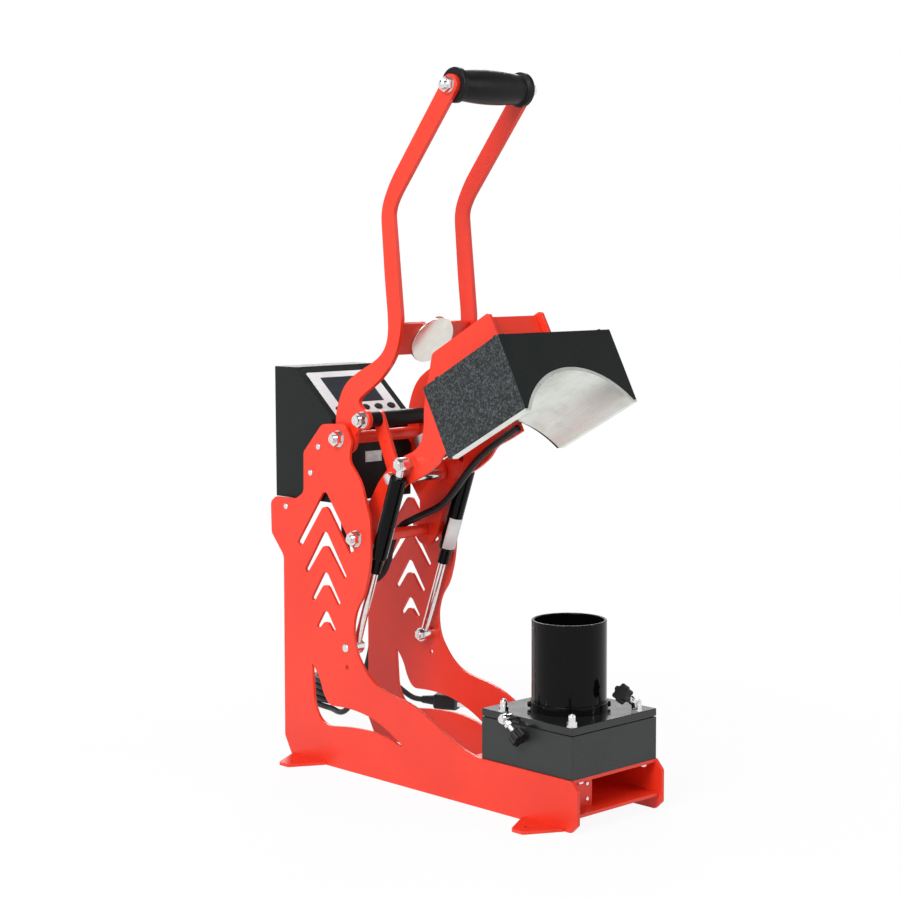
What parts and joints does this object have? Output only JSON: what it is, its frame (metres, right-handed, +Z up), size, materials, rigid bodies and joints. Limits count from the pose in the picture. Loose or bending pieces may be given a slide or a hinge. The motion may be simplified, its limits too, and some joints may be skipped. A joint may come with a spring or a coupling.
{
  "type": "ball heat press",
  "caption": "Benchtop heat press for balls: folded red frame, toggle lever, tilting heated head with a curved platen, and an upright tube that carries the ball.",
  "frame": {"origin": "on the bench, at the centre of the four foot holes", "axes": "+X to the operator's right, +Y from the operator towards the control box, +Z up"},
  "size_m": [0.3957, 0.7373, 0.8728],
  "materials": {
    "red_paint": "satin powder coat",
    "textured_black_paint": "fine hammered powder coat",
    "gloss_black_paint": "gloss",
    "black_rubber": "satin",
    "black_plastic": "matte",
    "chrome": "bright plate",
    "aluminium": "brushed, slightly stained",
    "polished_steel": "turned and nickel plated",
    "magnet_steel": "zinc plate",
    "insulation_wool": "pressed mineral wool",
    "heater_rubber": "moulded silicone",
    "white_film": "satin film",
    "display_glass": "dark glossy window",
    "circuit_board": "solder mask"
  },
  "bodies": {
    "frame": {"left_side_plate": "red_paint", "right_side_plate": "red_paint", "base_top_plate": "red_paint", "base_bottom_plate": "red_paint", "front_angle_post": "red_paint", "pivot_spacers": "red_paint", "pedestal_box": "textured_black_paint", "tube_mount_plate": "textured_black_paint", "control_box_shell": "textured_black_paint", "ball_tube": "gloss_black_paint", "tube_collar": "gloss_black_paint", "power_cord": "black_rubber", "power_cord_coil": "black_rubber", "power_cord_tail": "black_rubber", "heater_cable_loop": "black_rubber", "switch_housing": "black_plastic", "cable_glands": "black_plastic", "power_plug": "black_plastic", "pivot_shafts": "chrome", "pivot_nuts": "chrome", "spring_foot_pins": "chrome", "base_bolts": "chrome", "tube_plate_studs": "chrome", "control_box_screws": "chrome", "plug_pins": "chrome", "panel_overlay": "white_film", "display_window": "display_glass", "control_board": "circuit_board"},
    "handle": {"left_handle_arm": "red_paint", "right_handle_arm": "red_paint", "handle_grip": "black_rubber", "handle_crossplate": "red_paint", "armature_disc": "polished_steel", "link_shaft_sleeves": "black_rubber", "handle_shafts": "chrome", "handle_nuts": "chrome"},
    "links": {"drive_links": "red_paint", "drive_pin": "chrome"},
    "head": {"left_head_bracket": "red_paint", "right_head_bracket": "red_paint", "head_crossplates": "red_paint", "head_cover": "textured_black_paint", "platen": "aluminium", "heating_element": "heater_rubber", "insulation": "insulation_wool", "electromagnet": "magnet_steel", "head_fasteners": "chrome", "heater_cable_riser": "black_rubber"},
    "spring_cylinders": {"spring_cylinders": "gloss_black_paint"},
    "spring_rods": {"spring_rods": "chrome"},
    "left_eye_bolt": {"left_eye_bolt": "chrome"},
    "left_star_knob": {"left_star_knob": "black_plastic"},
    "front_eye_bolt": {"front_eye_bolt": "chrome"},
    "front_star_knob": {"front_star_knob": "black_plastic"},
    "switch_rocker": {"switch_rocker": "black_plastic"},
    "key_button_1": {"key_button_1": "black_plastic"},
    "key_button_2": {"key_button_2": "black_plastic"},
    "key_button_3": {"key_button_3": "black_plastic"},
    "key_button_4": {"key_button_4": "black_plastic"},
    "key_button_5": {"key_button_5": "black_plastic"}
  },
  "joints": [
    {"name": "handle_pivot", "type": "hinge", "parent": "frame", "child": "handle", "pos_m": [0, 0.145, 0.424], "axis": [1, 0, 0], "range_deg": [0, 67], "stiffness_Nm_per_rad": 6, "springref_deg": -137.51},
    {"name": "head_pivot", "type": "hinge", "parent": "frame", "child": "head", "pos_m": [0, 0.1133, 0.3004], "axis": [1, 0, 0], "range_deg": [0, 28.1]},
    {"name": "link_pivot", "type": "hinge", "parent": "handle", "child": "links", "pos_m": [0, 0.1106, 0.449], "axis": [1, 0, 0], "range_deg": [-93.9, 0]},
    {"name": "spring_pivot", "type": "hinge", "parent": "head", "child": "spring_cylinders", "pos_m": [0, 0.0455, 0.3975], "axis": [1, 0, 0], "range_deg": [-15.6, 0]},
    {"name": "spring_slide", "type": "slide", "parent": "spring_cylinders", "child": "spring_rods", "axis": [0, 0.349, -0.9371], "range_m": [-0.0219, 0]},
    {"name": "left_eye_bolt_pivot", "type": "hinge", "parent": "frame", "child": "left_eye_bolt", "pos_m": [-0.0846, -0.156, 0.1175], "axis": [1, 0, 0], "range_deg": [-20, 20]},
    {"name": "left_knob_spin", "type": "hinge", "parent": "left_eye_bolt", "child": "left_star_knob", "pos_m": [-0.0846, -0.172, 0.1055], "axis": [0, -0.8, -0.6], "continuous": true},
    {"name": "front_eye_bolt_pivot", "type": "hinge", "parent": "frame", "child": "front_eye_bolt", "pos_m": [0.045, -0.246, 0.1295], "axis": [0, 1, 0], "range_deg": [-15, 15]},
    {"name": "front_knob_spin", "type": "hinge", "parent": "front_eye_bolt", "child": "front_star_knob", "pos_m": [0.028, -0.246, 0.14004], "axis": [-0.8499, 0, 0.5269], "continuous": true},
    {"name": "power_switch", "type": "hinge", "parent": "frame", "child": "switch_rocker", "pos_m": [-0.03, 0.2825, 0.4], "axis": [1, 0, 0], "range_deg": [-10, 0]},
    {"name": "key_press_1", "type": "slide", "parent": "frame", "child": "key_button_1", "axis": [0, 0.6494, -0.7604], "range_m": [0, 0.001], "stiffness_N_per_m": 600, "springref_m": -0.0008},
    {"name": "key_press_2", "type": "slide", "parent": "frame", "child": "key_button_2", "axis": [0, 0.6494, -0.7604], "range_m": [0, 0.001], "stiffness_N_per_m": 600, "springref_m": -0.0008},
    {"name": "key_press_3", "type": "slide", "parent": "frame", "child": "key_button_3", "axis": [0, 0.6494, -0.7604], "range_m": [0, 0.001], "stiffness_N_per_m": 600, "springref_m": -0.0008},
    {"name": "key_press_4", "type": "slide", "parent": "frame", "child": "key_button_4", "axis": [0, 0.6494, -0.7604], "range_m": [0, 0.001], "stiffness_N_per_m": 600, "springref_m": -0.0008},
    {"name": "key_press_5", "type": "slide", "parent": "frame", "child": "key_button_5", "axis": [0, 0.6494, -0.7604], "range_m": [0, 0.001], "stiffness_N_per_m": 600, "springref_m": -0.0008}
  ],
  "couplings": [
    {"joint": "head_pivot", "follows": "handle_pivot", "ratio": 0.41791},
    {"joint": "link_pivot", "follows": "handle_pivot", "ratio": -1.4},
    {"joint": "spring_pivot", "follows": "handle_pivot", "ratio": -0.23164},
    {"joint": "spring_slide", "follows": "handle_pivot", "m_per_rad": -0.018677}
  ]
}
